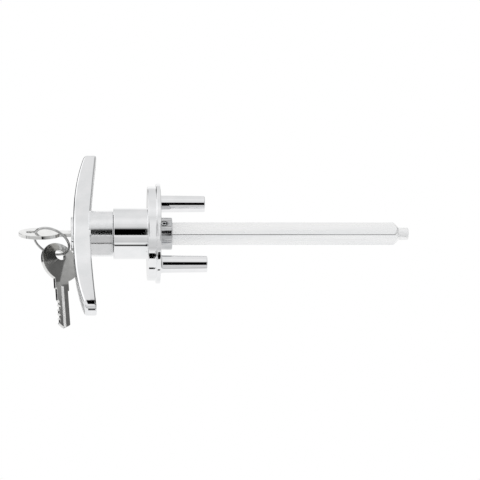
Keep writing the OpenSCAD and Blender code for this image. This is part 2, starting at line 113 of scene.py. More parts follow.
ROSE_R = 24.1
ROSE_RIM_T = 2.1
DISC_R = 22.7
DISC_FRONT = -6.2
SLEEVE_R = 12.3
SLEEVE_FRONT = -22.5
SLEEVE_BORE_R = 9.06
COLLAR_BORE_R = 7.81
RECESS_R = 10.65
RECESS_DEPTH = 2.1
POST_Z = 19.05
POST_R = 4.2
POST_TIP_R = 3.95
POST_BACK = 22.2
TAPPED_R = 1.95
TAPPED_DEPTH = 16
TAPPED_MOUTH = 0.35
THREAD_PITCH = 0.8
THREAD_HEIGHT = 0.32
THREAD_ROWS_PER_TURN = 6
POST_FILLET = 0.55

LOCK_FACE = -42.9
RIM_R = 8.3
PLUG_HEAD_R = 6.66
PLUG_HEAD_T = 1.1
SHELL_R = 7.5
SHELL_BACK = -24.3
SHELL_BORE_R = 5.81

SPINDLE_W = 7.94
ARRIS_R = 0.35
SPINDLE_FRONT = -13.1
SQUARE_END = 113.4
TENON_START = 115.8
TENON_R = 3
TENON_EDGE = 0.4
SPINDLE_TIP = 120.65

# Ways that the lock's inner pieces move in, as boxes between two corners.
# The turn of the handle and that of the key are in degrees
BOLT_WAY = ((-19.3, -3.6, -2.6), (-15.4, 14.4, 2.6))
DRIVE_PIN_WAY = ((-21.1, 6, -0.9), (-19.1, 15, 0.9))
BOLT_NOTCH = ((-19.4, 0, -2.7), (-15.3, 10.65, 2.7))
WAFER_GROOVE = ((-37.5, -1.35, 0), (-23.3, 1.35, 6.56))
HANDLE_SWING = 90

# Keys and ring, with turns in degrees
KEY_T = 1.7
KEY_EDGE_R = 0.16
BOW_R = 10.2
BOW_SHIFT = 3.9
HOLE_REACH = 18.8
HOLE_R = 2.7
SHOULDER_W = 7.7
BLADE_W = 6.3
BLADE_LENGTH = 20.6
FIRST_CUT = 7.8
CUT_PITCH = 2.4
CUT_DEPTHS = (0.9, 1.4, 0.7, 1.2, 0.8)
CUT_FLOOR_HALF = 0.5
KEY_GROOVE_START = -1.5
KEY_GROOVE_W = 1.5
KEY_GROOVE_DEPTH = 0.45
KEY_TURN = 38
RING_CENTRE = (-52.232, 2.751, -2.549)
RING_TURN = (0, 20.8, 4)
RING_R = 9
WIRE_R = 0.6
SPARE_HOLE = (-48.586, 11.014, -4.519)
SPARE_TURN = (39.2, 78.5, 71.4)


def degrees(angles):
    """A turn about X, Y and Z in degrees as a matrix."""
    return Euler([math.radians(a) for a in angles]).to_matrix().to_4x4()


# Mesh helpers

def mesh_object(name, verts, faces, smooth_angle=SHARP_ANGLE):
    """A mesh object from millimetre points, shaded smooth below an angle."""
    mesh = bpy.data.meshes.new(name)
    mesh.from_pydata([Vector(v) * MM for v in verts], [], faces)
    return finish_object(name, mesh, smooth_angle)


def finish_object(name, mesh, smooth_angle=SHARP_ANGLE):
    """Welds a mesh, turns its faces outwards and puts it in the scene."""
    bm = bmesh.new()
    bm.from_mesh(mesh)
    bmesh.ops.remove_doubles(bm, verts=bm.verts, dist=WELD)
    bmesh.ops.recalc_face_normals(bm, faces=bm.faces)
    bm.to_mesh(mesh)
    bm.free()
    mesh.shade_smooth()
    mesh.set_sharp_from_angle(angle=math.radians(smooth_angle))
    obj = bpy.data.objects.new(name, mesh)
    bpy.context.scene.collection.objects.link(obj)
    return obj


def weigh_normals(obj):
    """Flat faces stay flat beside their fillets."""
    modifier = obj.modifiers.new("weigh", "WEIGHTED_NORMAL")
    modifier.keep_sharp = True
    modifier.weight = 60
    return obj


def round_corners(points, steps=5):
    """A closed outline of (x, radius, fillet) corners with each fillet drawn as an arc."""
    out = []
    count = len(points)
    for i, (x, y, fillet) in enumerate(points):
        here = Vector((x, y))
        if fillet <= 0:
            out.append(here)
            continue
        before = Vector(points[i - 1][:2]) - here
        after = Vector(points[(i + 1) % count][:2]) - here
        half = before.angle(after) / 2
        reach = min(fillet / math.tan(half), FILLET_SHARE * before.length, FILLET_SHARE * after.length)
        radius = reach * math.tan(half)
        centre = here + (before.normalized() + after.normalized()).normalized() * radius / math.sin(half)
        start = here + before.normalized() * reach - centre
        end = here + after.normalized() * reach - centre
        sweep = start.angle_signed(end)
        for k in range(steps + 1):
            spoke = start.copy()
            spoke.rotate(Matrix.Rotation(-sweep * k / steps, 2))
            out.append(centre + spoke)
    return out


def hold_edges(points, gap=0.1):
    """Adds a point close to each end of every long side, so that its shading stays flat."""
    out = []
    for i, here in enumerate(points):
        after = points[(i + 1) % len(points)]
        out.append(here)
        length = (after - here).length
        if length > 6 * gap:
            step = (after - here) * gap / length
            out += [here + step, after - step]
    return out


def lathe(name, outline, segments=160):
    """A closed outline of (x, radius, fillet) corners turned round the spindle's axis."""
    profile = hold_edges(round_corners(outline))
    verts = []
    faces = []
    count = len(profile)
    for s in range(segments):
        a = 2 * math.pi * s / segments
        for p in profile:
            radius = max(p.y, 0)
            verts.append((p.x, radius * math.cos(a), radius * math.sin(a)))
    for s in range(segments):
        t = (s + 1) % segments
        for i in range(count):
            j = (i + 1) % count
            faces.append((s * count + i, s * count + j, t * count + j, t * count + i))
    return weigh_normals(drop_slivers(mesh_object(name, verts, faces)))


def drop_slivers(obj):
    """Deletes the faces of no area that a turned outline leaves on its axis."""
    bm = bmesh.new()
    bm.from_mesh(obj.data)
    bmesh.ops.dissolve_degenerate(bm, dist=WELD, edges=bm.edges)
    bm.to_mesh(obj.data)
    bm.free()
    return obj


def block(low, high):
    """A box between two corners, used as a cutter."""
    verts = [(x, y, z) for x in (low[0], high[0]) for y in (low[1], high[1]) for z in (low[2], high[2])]
    faces = [(0, 1, 3, 2), (4, 6, 7, 5), (0, 4, 5, 1), (2, 3, 7, 6), (0, 2, 6, 4), (1, 5, 7, 3)]
    return mesh_object("cutter", verts, faces)


def turned(obj, angle):
    """Turns a cutter round the spindle's axis."""
    obj.data.transform(Matrix.Rotation(math.radians(angle), 4, "X"))
    return obj


def round_bar(start, end, radius, segments=64):
    """A plain round cutter between two points."""
    start = Vector(start)
    along = Vector(end) - start
    side = along.orthogonal().normalized() * radius
    other = along.normalized().cross(side)
    verts = []
    for base in (start, start + along):
        for s in range(segments):
            a = 2 * math.pi * s / segments
            verts.append(tuple(base + side * math.cos(a) + other * math.sin(a)))
    faces = [tuple(range(segments)), tuple(range(segments, 2 * segments))]
    faces += [(s, (s + 1) % segments, segments + (s + 1) % segments, segments + s) for s in range(segments)]
    return mesh_object("cutter", verts, faces)


def apply_modifiers(obj):
    depsgraph = bpy.context.evaluated_depsgraph_get()
    mesh = bpy.data.meshes.new_from_object(obj.evaluated_get(depsgraph))
    obj.modifiers.clear()
    obj.data = mesh


def cut(obj, *cutters):
    """Takes the cutters out of a piece and deletes them."""
    weighted = "weigh" in obj.modifiers
    if weighted:
        obj.modifiers.remove(obj.modifiers["weigh"])
    for cutter in cutters:
        modifier = obj.modifiers.new("cut", "BOOLEAN")
        modifier.operation = "DIFFERENCE"
        modifier.solver = "EXACT"
        modifier.object = cutter
    bpy.context.view_layer.update()
    apply_modifiers(obj)
    for cutter in cutters:
        bpy.data.objects.remove(cutter)
    obj.data.set_sharp_from_angle(angle=math.radians(SHARP_ANGLE))
    return weigh_normals(obj) if weighted else obj


def join(name, *pieces):
    """One object from several."""
    bm = bmesh.new()
    for piece in pieces:
        apply_modifiers(piece)
        piece.data.transform(piece.matrix_world)
        bm.from_mesh(piece.data)
    mesh = bpy.data.meshes.new(name)
    bm.to_mesh(mesh)
    bm.free()
    for piece in pieces:
        bpy.data.objects.remove(piece)
    mesh.shade_smooth()
    mesh.set_sharp_from_angle(angle=math.radians(SHARP_ANGLE))
    obj = bpy.data.objects.new(name, mesh)
    bpy.context.scene.collection.objects.link(obj)
    return weigh_normals(obj)


# T-bar

def end_drop(s, r):
    """How far a corner of radius r at the bar's end falls back at a distance s from the middle."""
    return 0 if s < BAR_HALF - r else r - math.sqrt(max(0, r * r - (s - BAR_HALF + r) ** 2))


def bar_front(s):
    """Where the bar's front lies at a distance s from its middle."""
    return BAR_FRONT + BAR_FRONT_SAG * (s / BAR_HALF) ** BAR_FRONT_POWER + end_drop(s, BAR_EDGE_R)


def bar_back(s):
    """Where the bar's back lies at a distance s from its middle."""
    return BAR_BACK + BAR_BACK_SAG * (s / BAR_HALF) ** BAR_BACK_POWER


def bar_half_width(s):
    wide = BAR_MIDDLE_HALF_WIDTH - BAR_END_HALF_WIDTH
    return BAR_END_HALF_WIDTH + wide * math.exp(-(s / BAR_MIDDLE_REACH) ** 2) - end_drop(s, BAR_CORNER_R)


def smooth_step(x):
    x = min(1, max(0, x))
    return x * x * (3 - 2 * x)


def arc_points(cx, cy, r, start, end, steps):
    """Points on an arc round a centre, between two angles in degrees."""
    out = []
    for i in range(steps + 1):
        a = math.radians(start + (end - start) * i / steps)
        out.append((cx + r * math.cos(a), cy + r * math.sin(a)))
    return out


def bar_half_section(s):
    """Points (x, y) of half a section, from the middle of the back round to the middle of the front."""
    front, back, width = bar_front(s), bar_back(s), bar_half_width(s)
    # The edges and the lip shrink where the bar grows narrow at its ends
    edge = min(BAR_EDGE_R, 0.8 * width)
    hollow = smooth_step((s - POCKET_START) / POCKET_BLEND) * smooth_step((POCKET_END - s) / POCKET_BLEND)
    floor = back + (front + BAR_FLOOR - back) * hollow
    inner = max(0.3, width - BAR_WALL)
    root = 0.05 + 0.75 * hollow
    lip = min(BAR_LIP_R, 0.3 * width)
    points = [(floor, inner * k / 4) for k in range(4)]
    points += arc_points(floor + root, inner - root, root, 180, 90, 4)
    points += arc_points(back - POCKET_LIP_R, inner + POCKET_LIP_R, POCKET_LIP_R, 270, 360, 3)
    points += arc_points(back - lip, width - lip, lip, 0, 90, 4)
    points += [(back - lip + (front + edge - back + lip) * k / 5, width) for k in range(1, 5)]
    points += arc_points(front + edge, width - edge, edge, 90, 180, 7)
    points += [(front - BAR_CROWN * (1 - (k / 4) ** 2), (width - edge) * k / 4) for k in range(3, -1, -1)]
    return points


def bar_stations():
    """Distances from the bar's middle, close together where the hollow and the end change fast."""
    out = [BAR_HALF - BAR_CORNER_R + BAR_CORNER_R * math.sin(math.radians(90 * i / 14)) for i in range(15)]
    out += [POCKET_START + 0.2 * i for i in range(7)]
    out += [POCKET_END - POCKET_BLEND + 0.2 * i for i in range(7)]
    out += [STATION_PITCH * i for i in range(int((BAR_HALF - BAR_CORNER_R) / STATION_PITCH) + 1)]
    return sorted(set(round(s, 4) for s in out))


def in_hollow(x, y, z):
    """Whether a point lies on the floor or on an inner wall of the bar's hollow back."""
    if not POCKET_START < z < POCKET_END:
        return False
    return y < bar_half_width(z) - BAR_WALL + 0.1 and bar_front(z) + 1 < x < bar_back(z) - 0.1


def t_bar():
    """The bar along Z, bored for the lock."""
    stations = bar_stations()
    zs = [-s for s in reversed(stations[1:])] + stations
    verts = []
    for z in zs:
        half = bar_half_section(abs(z))
        ring = half + [(x, -y) for x, y in reversed(half[1:-1])]
        verts += [(x, y, z) for x, y in ring]
    count = len(verts) // len(zs)
    faces = []
    for k in range(len(zs) - 1):
        for i in range(count):
            j = (i + 1) % count
            faces.append((k * count + i, k * count + j, (k + 1) * count + j, (k + 1) * count + i))
    faces.append(tuple(range(count)))
    faces.append(tuple((len(zs) - 1) * count + i for i in range(count)))
    bar = mesh_object("bar", verts, faces, 50)
    return cut(bar, round_bar((BAR_FRONT - 2, 0, 0), (BAR_BACK + 1, 0, 0), LOCK_BORE_R, 96))


def t_handle():
    """The bar with its neck, its shank through the sleeve and the collar behind the rose."""
    stem = lathe("stem", [
        (BAR_BACK - STEM_OVERLAP, NECK_R + NECK_FLARE, 0), (BAR_BACK + 0.6, NECK_R, 0.8),
        (NECK_BACK, NECK_R, 0.35),
        (NECK_BACK, SHANK_R, 0.1), (SHANK_BACK, SHANK_R, 0.2), (SHANK_BACK, COLLAR_R, 0.1),
        (SNAP_GROOVE[0], COLLAR_R, 0), (SNAP_GROOVE[0], SNAP_GROOVE[2], 0),
        (SNAP_GROOVE[1], SNAP_GROOVE[2], 0), (SNAP_GROOVE[1], COLLAR_R, 0),
        (COLLAR_BACK, COLLAR_R, 0.45), (COLLAR_BACK, 0, 0), (CAM_ROOM_BACK, 0, 0),
        (CAM_ROOM_BACK, CAM_ROOM_R, 0), (LOCK_BORE_BACK, CAM_ROOM_R, 0), (LOCK_BORE_BACK, LOCK_BORE_R, 0),
        (BAR_BACK - STEM_OVERLAP, LOCK_BORE_R, 0)])
    half = SOCKET_W / 2
    cut(stem,
        block((SOCKET_X, -half, -half), (COLLAR_BACK + 1, half, half)),
        block(*BOLT_WAY), block(*DRIVE_PIN_WAY),
        round_bar((PIN_X, -COLLAR_R - 1, 0), (PIN_X, COLLAR_R + 1, 0), PIN_R + PIN_PLAY),
        round_bar((PIN_X, -COLLAR_R - 1, 0), (PIN_X, PIN_RIM_DEPTH - COLLAR_R, 0), PIN_RIM_R))
    return join("t_handle_casting", t_bar(), stem)


# Rose

def tapped_bore(z):
    """The inside of a tapped hole, with its thread as a helix."""
    segments = 36
    rows = int(TAPPED_DEPTH / THREAD_PITCH * THREAD_ROWS_PER_TURN)
    bottom = POST_BACK - TAPPED_DEPTH
    verts = []
    faces = []
    for row in range(rows + 1):
        x = bottom + TAPPED_DEPTH * row / rows
        fade = smooth_step((POST_BACK - x) / 0.5) * smooth_step((x - bottom) / 1.5)
        for s in range(segments):
            turn = s / segments
            wave = abs(((x - bottom) / THREAD_PITCH - turn) % 1 - 0.5) * 2
            mouth = TAPPED_MOUTH * (1 - smooth_step((POST_BACK - x) / TAPPED_MOUTH))
            r = TAPPED_R + THREAD_HEIGHT * wave * fade + mouth
            a = 2 * math.pi * turn
            verts.append((x, r * math.cos(a), z + r * math.sin(a)))
    for row in range(rows):
        for s in range(segments):
            t = (s + 1) % segments
            faces.append((row * segments + s, row * segments + t, (row + 1) * segments + t,
                (row + 1) * segments + s))
    return verts, faces, segments, rows


def post(side):
    """A tapered post with a fillet at its root and a tapped hole in its end."""
    z = side * POST_Z
    verts, faces, segments, rows = tapped_bore(z)
    mouth = TAPPED_R + TAPPED_MOUTH
    outer = [(POST_BACK, mouth + 0.02), (POST_BACK, POST_TIP_R - 0.3), (POST_BACK - 0.12, POST_TIP_R - 0.09),
        (POST_BACK - 0.35, POST_TIP_R)]
    outer += [(x, POST_R + (POST_TIP_R - POST_R) * x / POST_BACK) for x in (18, 13, 8, 4, 1.2)]
    outer += [(0.75, POST_R + 0.06), (0.35, POST_R + 0.2), (0.1, POST_R + 0.4), (-0.05, POST_R + POST_FILLET),
        (-1, POST_R + POST_FILLET)]
    base = rows * segments
    for x, r in outer:
        start = len(verts)
        for s in range(segments):
            a = 2 * math.pi * s / segments
            verts.append((x, r * math.cos(a), z + r * math.sin(a)))
        for s in range(segments):
            t = (s + 1) % segments
            faces.append((base + s, base + t, start + t, start + s))
        base = start
    faces.append(tuple(base + s for s in range(segments)))
    faces.append(tuple(range(segments)))
    return mesh_object("post", verts, faces, 35)


def rose():
    """The stepped disc with its sleeve, its recess, the bolt's two notches and its two posts."""
    body = lathe("rose_body", [
        (SLEEVE_FRONT, SLEEVE_BORE_R, 0.15), (SLEEVE_FRONT, SLEEVE_R, 0.35), (DISC_FRONT, SLEEVE_R, 0.12),
        (DISC_FRONT, DISC_R, 0.45), (-ROSE_RIM_T, DISC_R, 0.25), (-ROSE_RIM_T, ROSE_R, 0.45), (0, ROSE_R, 0.3),
        (0, RECESS_R, 0.15), (-RECESS_DEPTH, RECESS_R, 0.1), (-RECESS_DEPTH, COLLAR_BORE_R, 0),
        (DISC_FRONT, COLLAR_BORE_R, 0), (DISC_FRONT, SLEEVE_BORE_R, 0)], 224)
    cut(body, block(*BOLT_NOTCH), turned(block(*BOLT_NOTCH), HANDLE_SWING))
    return join("rose_casting", body, post(1), post(-1))


# Lock

def cylinder_shell():
    """The lock's outer shell, with the grooves that the wafers drop into with the key drawn."""
    head_floor = LOCK_FACE + PLUG_HEAD_T
    shell = lathe("lock_cylinder_shell", [
        (LOCK_FACE, PLUG_HEAD_R, 0.12), (LOCK_FACE, RIM_R, 0.4), (BAR_FRONT, RIM_R, 0), (BAR_FRONT, SHELL_R, 0),
        (SHELL_BACK, SHELL_R, 0.2), (SHELL_BACK, SHELL_BORE_R, 0), (head_floor, SHELL_BORE_R, 0),
        (head_floor, PLUG_HEAD_R, 0)], 128)
    return cut(shell, block(*WAFER_GROOVE), turned(block(*WAFER_GROOVE), -KEY_TURN))


# Spindle

def spindle():
    """The square bar with rounded arrises, its cone and its turned end."""
    half = SPINDLE_W / 2
    corner = math.hypot(half, half)
    # Each station has its place, half its width and the radius that its corners are turned down to
    stations = [(SPINDLE_FRONT, half - TENON_EDGE, corner), (SPINDLE_FRONT + TENON_EDGE, half, corner)]
    stations += [(x, half, corner) for x in range(-4, 112, 4)]
    stations += [(SQUARE_END, half, corner)]
    for i in range(1, 9):
        k = i / 8
        stations.append((SQUARE_END + (TENON_START - SQUARE_END) * k, half, corner + (TENON_R - corner) * k))
    stations += [(TENON_START + 0.05, half, TENON_R), (SPINDLE_TIP - TENON_EDGE, half, TENON_R),
        (SPINDLE_TIP - 0.12, half, TENON_R - 0.12), (SPINDLE_TIP, half, TENON_R - TENON_EDGE),
        (SPINDLE_TIP, half, TENON_R * 0.5)]
    segments = 96
    verts = []
    faces = []
    for x, half_width, limit in stations:
        for s in range(segments):
            a = 2 * math.pi * (s + 0.5) / segments
            reach = min(square_reach(a, half_width, ARRIS_R), limit)
            verts.append((x, reach * math.cos(a), reach * math.sin(a)))
    for k in range(len(stations) - 1):
        for s in range(segments):
            t = (s + 1) % segments
            faces.append((k * segments + s, k * segments + t, (k + 1) * segments + t, (k + 1) * segments + s))
    faces.append(tuple(range(segments)))
    faces.append(tuple((len(stations) - 1) * segments + s for s in range(segments)))
    bar = mesh_object("square_spindle", verts, faces, 25)
    cut(bar, round_bar((PIN_X, -SPINDLE_W, 0), (PIN_X, SPINDLE_W, 0), PIN_R + 0.02))
    return weigh_normals(bar)


def square_reach(angle, half, r):
    """Distance from the axis to a square with rounded arrises, in one direction."""
    c, s = abs(math.cos(angle)), abs(math.sin(angle))
    if c < s:
        c, s = s, c
    reach = half / c
    inner = half - r
    if reach * s <= inner:
        return reach
    middle = inner * (c + s)
    return middle + math.sqrt(max(0, r * r - 2 * inner * inner + middle * middle))


# Keys and ring

def key_outline():
    """The key's outline, with its shoulder at 0 and its blade towards +X."""
    hole_x = -HOLE_REACH
    bow_x = hole_x + BOW_SHIFT
    half = BLADE_W / 2
    shoulder = SHOULDER_W / 2
    flank = math.asin(shoulder / BOW_R)
    points = []
    for i in range(81):
        a = flank + (2 * math.pi - 2 * flank) * i / 80
        points.append((bow_x + BOW_R * math.cos(a), BOW_R * math.sin(a)))
    points += [(0, -shoulder), (0, -half)]
    for i, depth in enumerate(CUT_DEPTHS):
        x = FIRST_CUT + CUT_PITCH * i
        slope = min(depth, 0.55 * CUT_PITCH)
        if i > 0:
            ridge = (CUT_PITCH - 2 * CUT_FLOOR_HALF) / 2
            crest = min(depth, CUT_DEPTHS[i - 1]) - ridge
            points.append((x - CUT_PITCH / 2, -half + max(0.15, crest)))
        else:
            points.append((x - CUT_FLOOR_HALF - slope - 0.4, -half))
        points.append((x - CUT_FLOOR_HALF, -half + depth))
        points.append((x + CUT_FLOOR_HALF, -half + depth))
        cut_end = x + CUT_FLOOR_HALF + slope
    points += [(cut_end + 0.4, -half + 0.1), (BLADE_LENGTH - 0.2, -half + 2.2), (BLADE_LENGTH, -half + 2.8),
        (BLADE_LENGTH, half - 3.0), (BLADE_LENGTH - 1.9, half), (0, half), (0, shoulder)]
    return points


def add_loop(curve, points):
    """Adds a closed outline to a flat curve; an outline inside another becomes a hole."""
    spline = curve.splines.new("POLY")
    spline.points.add(len(points) - 1)
    for point, (x, y) in zip(spline.points, points):
        point.co = (x * MM, y * MM, 0, 1)
    spline.use_cyclic_u = True


def key(name, matrix):
    """A key from its outline, with softened edges and a groove with a slanted floor down its blade."""
    curve = bpy.data.curves.new(name, "CURVE")
    curve.dimensions = "2D"
    curve.fill_mode = "BOTH"
    curve.extrude = (KEY_T / 2 - KEY_EDGE_R) * MM
    curve.bevel_depth = KEY_EDGE_R * MM
    curve.bevel_resolution = 3
    curve.offset = -KEY_EDGE_R * MM
    add_loop(curve, key_outline())
    add_loop(curve, arc_points(-HOLE_REACH, 0, HOLE_R, 0, 352.5, 47))
    source = bpy.data.objects.new(name, curve)
    bpy.context.scene.collection.objects.link(source)
    bpy.context.view_layer.update()
    mesh = bpy.data.meshes.new_from_object(source.evaluated_get(bpy.context.evaluated_depsgraph_get()))
    bpy.data.objects.remove(source)
    mesh.transform(Matrix.Rotation(math.radians(90), 4, "X"))
    piece = finish_object(name, mesh, 35)
    groove_half = KEY_GROOVE_W / 2
    face = -KEY_T / 2
    profile = [(-KEY_T, -groove_half), (face, -groove_half), (face + 0.1, -groove_half + 0.12),
        (face + KEY_GROOVE_DEPTH + 0.08, groove_half - 0.14), (face, groove_half), (-KEY_T, groove_half)]
    verts = [(x, y, z) for x in (KEY_GROOVE_START, BLADE_LENGTH + 1) for y, z in profile]
    n = len(profile)
    faces = [tuple(range(n)), tuple(range(n, 2 * n))]
    faces += [(i, (i + 1) % n, n + (i + 1) % n, n + i) for i in range(n)]
    cut(piece, mesh_object("cutter", verts, faces))
    piece.data.transform(matrix)
    piece.data.set_sharp_from_angle(angle=math.radians(35))
    return weigh_normals(piece)


def place(centre, angles):
    return Matrix.Translation(Vector(centre) * MM) @ degrees(angles)


def key_ring():
    """A ring of round wire."""
    around, across = 160, 20
    verts = []
    faces = []
    lean = degrees(RING_TURN)
    for i in range(around):
        a = 2 * math.pi * i / around
        for j in range(across):
            b = 2 * math.pi * j / across
            r = RING_R + WIRE_R * math.cos(b)
            point = lean @ Vector((r * math.cos(a), r * math.sin(a), WIRE_R * math.sin(b)))
            verts.append(tuple(point + Vector(RING_CENTRE)))
    for i in range(around):
        k = (i + 1) % around
        for j in range(across):
            m = (j + 1) % across
            faces.append((i * across + j, i * across + m, k * across + m, k * across + j))
    return mesh_object("wire_ring", verts, faces, 60)


# Materials

# Noise lies mostly between these two values
NOISE_RANGE = (0.35, 0.65)
# In metres: how deep the fine relief of a metal is
RELIEF_DEPTH = 0.00002


def new_material(name):
    material = bpy.data.materials.new(name)
    material.use_nodes = True
    tree = material.node_tree
    shader = tree.nodes["Principled BSDF"]
    return material, tree, shader


def noise_node(tree, scale, detail, stretch):
    """A noise fixed to the object, stretched along its axes."""
    coords = tree.nodes.new("ShaderNodeTexCoord")
    mapping = tree.nodes.new("ShaderNodeMapping")
    mapping.inputs["Scale"].default_value = stretch
    noise = tree.nodes.new("ShaderNodeTexNoise")
    noise.inputs["Scale"].default_value = scale
    noise.inputs["Detail"].default_value = detail
    tree.links.new(coords.outputs["Object"], mapping.inputs["Vector"])
    tree.links.new(mapping.outputs["Vector"], noise.inputs["Vector"])
    return noise


def ramp_between(tree, value, low, high):
    """A number between two limits, spread over the range that noise covers."""
    spread = tree.nodes.new("ShaderNodeMapRange")
    spread.inputs["From Min"].default_value = NOISE_RANGE[0]
    spread.inputs["From Max"].default_value = NOISE_RANGE[1]
    spread.inputs["To Min"].default_value = low
    spread.inputs["To Max"].default_value = high
    tree.links.new(value, spread.inputs["Value"])
    return spread.outputs["Result"]


def colour_between(tree, value, dark, light):
    """A colour between two, spread over the range that noise covers."""
    ramp = tree.nodes.new("ShaderNodeValToRGB")
    for element, position, colour in zip(ramp.color_ramp.elements, NOISE_RANGE, (dark, light)):
        element.position = position
        element.color = (*colour, 1)
    tree.links.new(value, ramp.inputs["Fac"])
    return ramp.outputs["Color"]


def bump(tree, shader, height, strength, distance):
    """Raises the surface by a height, over a distance in metres."""
    node = tree.nodes.new("ShaderNodeBump")
    node.inputs["Strength"].default_value = strength
    node.inputs["Distance"].default_value = distance
    tree.links.new(height, node.inputs["Height"])
    tree.links.new(node.outputs["Normal"], shader.inputs["Normal"])


def metal(name, dark, light, rough, scale, stretch=(1, 1, 1), relief=0.1, shine=1, detail=3):
    """A metal whose colour, roughness and surface vary finely; less shine leaves a dull share."""
    material, tree, shader = new_material(name)
    shader.inputs["Metallic"].default_value = shine
    broad = noise_node(tree, scale, 4, stretch)
    fine = noise_node(tree, scale * 5, detail, stretch)
    tree.links.new(colour_between(tree, broad.outputs["Fac"], dark, light), shader.inputs["Base Color"])
    tree.links.new(ramp_between(tree, fine.outputs["Fac"], *rough), shader.inputs["Roughness"])
    bump(tree, shader, fine.outputs["Fac"], relief, RELIEF_DEPTH)
    return material


chrome = metal("polished_chrome", (0.87, 0.88, 0.89), (0.93, 0.93, 0.94), (0.03, 0.06), 160, relief=0.04)
bar_chrome = metal("cast_chrome", (0.86, 0.87, 0.88), (0.93, 0.93, 0.94), (0.13, 0.19), 300, relief=0.08)
front_chrome = metal("front_chrome", (0.87, 0.88, 0.89), (0.93, 0.93, 0.94), (0.2, 0.26), 200, relief=0.04)
inner_zinc = metal("hollow_zinc", (0.86, 0.86, 0.86), (0.96, 0.96, 0.96), (0.5, 0.7), 300, relief=0.4, shine=0.35)
turned_zinc = metal("turned_zinc", (0.54, 0.55, 0.56), (0.70, 0.70, 0.71), (0.08, 0.14), 420, (0.4, 1, 1), 0.15)
# Darker grey for the spindle's rounded arrises: painted shade, a thin dark line along each edge
arris_painted_shade = metal("arris_painted_shade", (0.36, 0.36, 0.37), (0.50, 0.50, 0.51), (0.3, 0.5), 300, (0.1, 1, 1), 0.2)
nickel = metal("key_nickel", (0.72, 0.72, 0.71), (0.82, 0.82, 0.81), (0.08, 0.11), 400, relief=0.015)
# A darker copy of the key nickel for the spare key's flat faces: painted shade for the dark reflections on them
key_face_painted_shade = metal("key_face_painted_shade", (0.48, 0.48, 0.47), (0.55, 0.55, 0.54), (0.14, 0.18), 300, relief=0.006)
# Near-white, mostly dull nickel for the spare key's groove: a painted highlight along it
groove_painted_highlight = metal("groove_painted_highlight", (0.94, 0.94, 0.93), (0.99, 0.99, 0.99), (0.3, 0.45), 500, relief=0.05, shine=0.3)
ring_steel = metal("ring_steel", (0.46, 0.46, 0.46), (0.58, 0.58, 0.58), (0.08, 0.12), 500, relief=0.04)
zinc = metal("zinc_plate", (0.88, 0.89, 0.90), (0.99, 0.99, 0.99), (0.25, 0.4), 150, (0.05, 1, 1), 0.45, shine=0.55,
    detail=0.5)
brass = metal("wafer_brass", (0.70, 0.52, 0.22), (0.82, 0.66, 0.34), (0.2, 0.36), 700, relief=0.2)
plug_metal = metal("plug_plate", (0.52, 0.51, 0.49), (0.62, 0.61, 0.59), (0.12, 0.24), 500, relief=0.12)
# Near-black for the faces in the gap behind the neck and for the rims of the pin holes: painted shade in the gap
# and the holes
gap_shade = metal("gap_painted_shade", (0.05, 0.05, 0.05), (0.12, 0.11, 0.10), (0.5, 0.7), 500, relief=0.2, shine=0.4)
steel = metal("plain_steel", (0.46, 0.47, 0.48), (0.60, 0.61, 0.62), (0.22, 0.36), 600, relief=0.2)


def dress(obj, material):
    obj.data.materials.clear()
    obj.data.materials.append(material)


def stand_for(piece, node, body, material):
    """Dresses a piece, lets it move with a body and puts it in the place of a CAD node."""
    dress(piece, material)
    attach(piece, body)
    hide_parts(node)


def add_materials(piece, *materials):
    for material in materials:
        piece.data.materials.append(material)


# The handle's neck and shank keep its first material, and these are the numbers of the others
IN_HOLLOW, ON_COLLAR, ON_BAR, IN_GAP_SHADE, ON_FRONT = range(1, 6)
handle = t_handle()
stand_for(handle, "t_handle", "handle", bar_chrome)
add_materials(handle, inner_zinc, turned_zinc, chrome, gap_shade, front_chrome)
for face in handle.data.polygons:
    x, y, z = face.center / MM
    if in_hollow(x, abs(y), abs(z)):
        face.material_index = IN_HOLLOW
    elif x > 0:
        # The pin holes' rims, and the faces behind the neck's back inside its radius, take painted shade
        in_pin_hole = abs(y) > SPINDLE_W / 2 and math.hypot(x - PIN_X, z) < PIN_RIM_R + 0.01
        face.material_index = IN_GAP_SHADE if in_pin_hole else ON_COLLAR
    elif NECK_BACK - 0.05 < x and math.hypot(y, z) < NECK_R - 0.4:
        face.material_index = IN_GAP_SHADE
    elif x < BAR_BACK + 0.1 or abs(z) > NECK_R + 0.6:
        looks_forward = face.normal.x < -0.9
        face.material_index = ON_FRONT if looks_forward else ON_BAR
stand_for(rose(), "rose_base", "base", chrome)
stand_for(cylinder_shell(), "cylinder_shell", "handle", chrome)
# The faces on the spindle's arrises take the darker grey: painted shade along its edges
ON_ARRIS = 1
bar = spindle()
stand_for(bar, "spindle", "handle", zinc)
add_materials(bar, arris_painted_shade)
for face in bar.data.polygons:
    _, y, z = face.center / MM
    if min(abs(y), abs(z)) > SPINDLE_W / 2 - ARRIS_R - 0.02:
        face.material_index = ON_ARRIS
stand_for(key("inserted_key", place((LOCK_FACE - 0.1, 0, 0), (-KEY_TURN, 0, 0))),
    "key_in_lock", "lock_key", nickel)
ON_KEY_FACE, IN_GROOVE = 1, 2
hang = place(SPARE_HOLE, SPARE_TURN) @ Matrix.Translation((HOLE_REACH * MM, 0, 0))
spare = key("hanging_spare_key", hang)
stand_for(spare, "spare_key", "hanging_key", nickel)
add_materials(spare, key_face_painted_shade, groove_painted_highlight)
unhang = hang.inverted()
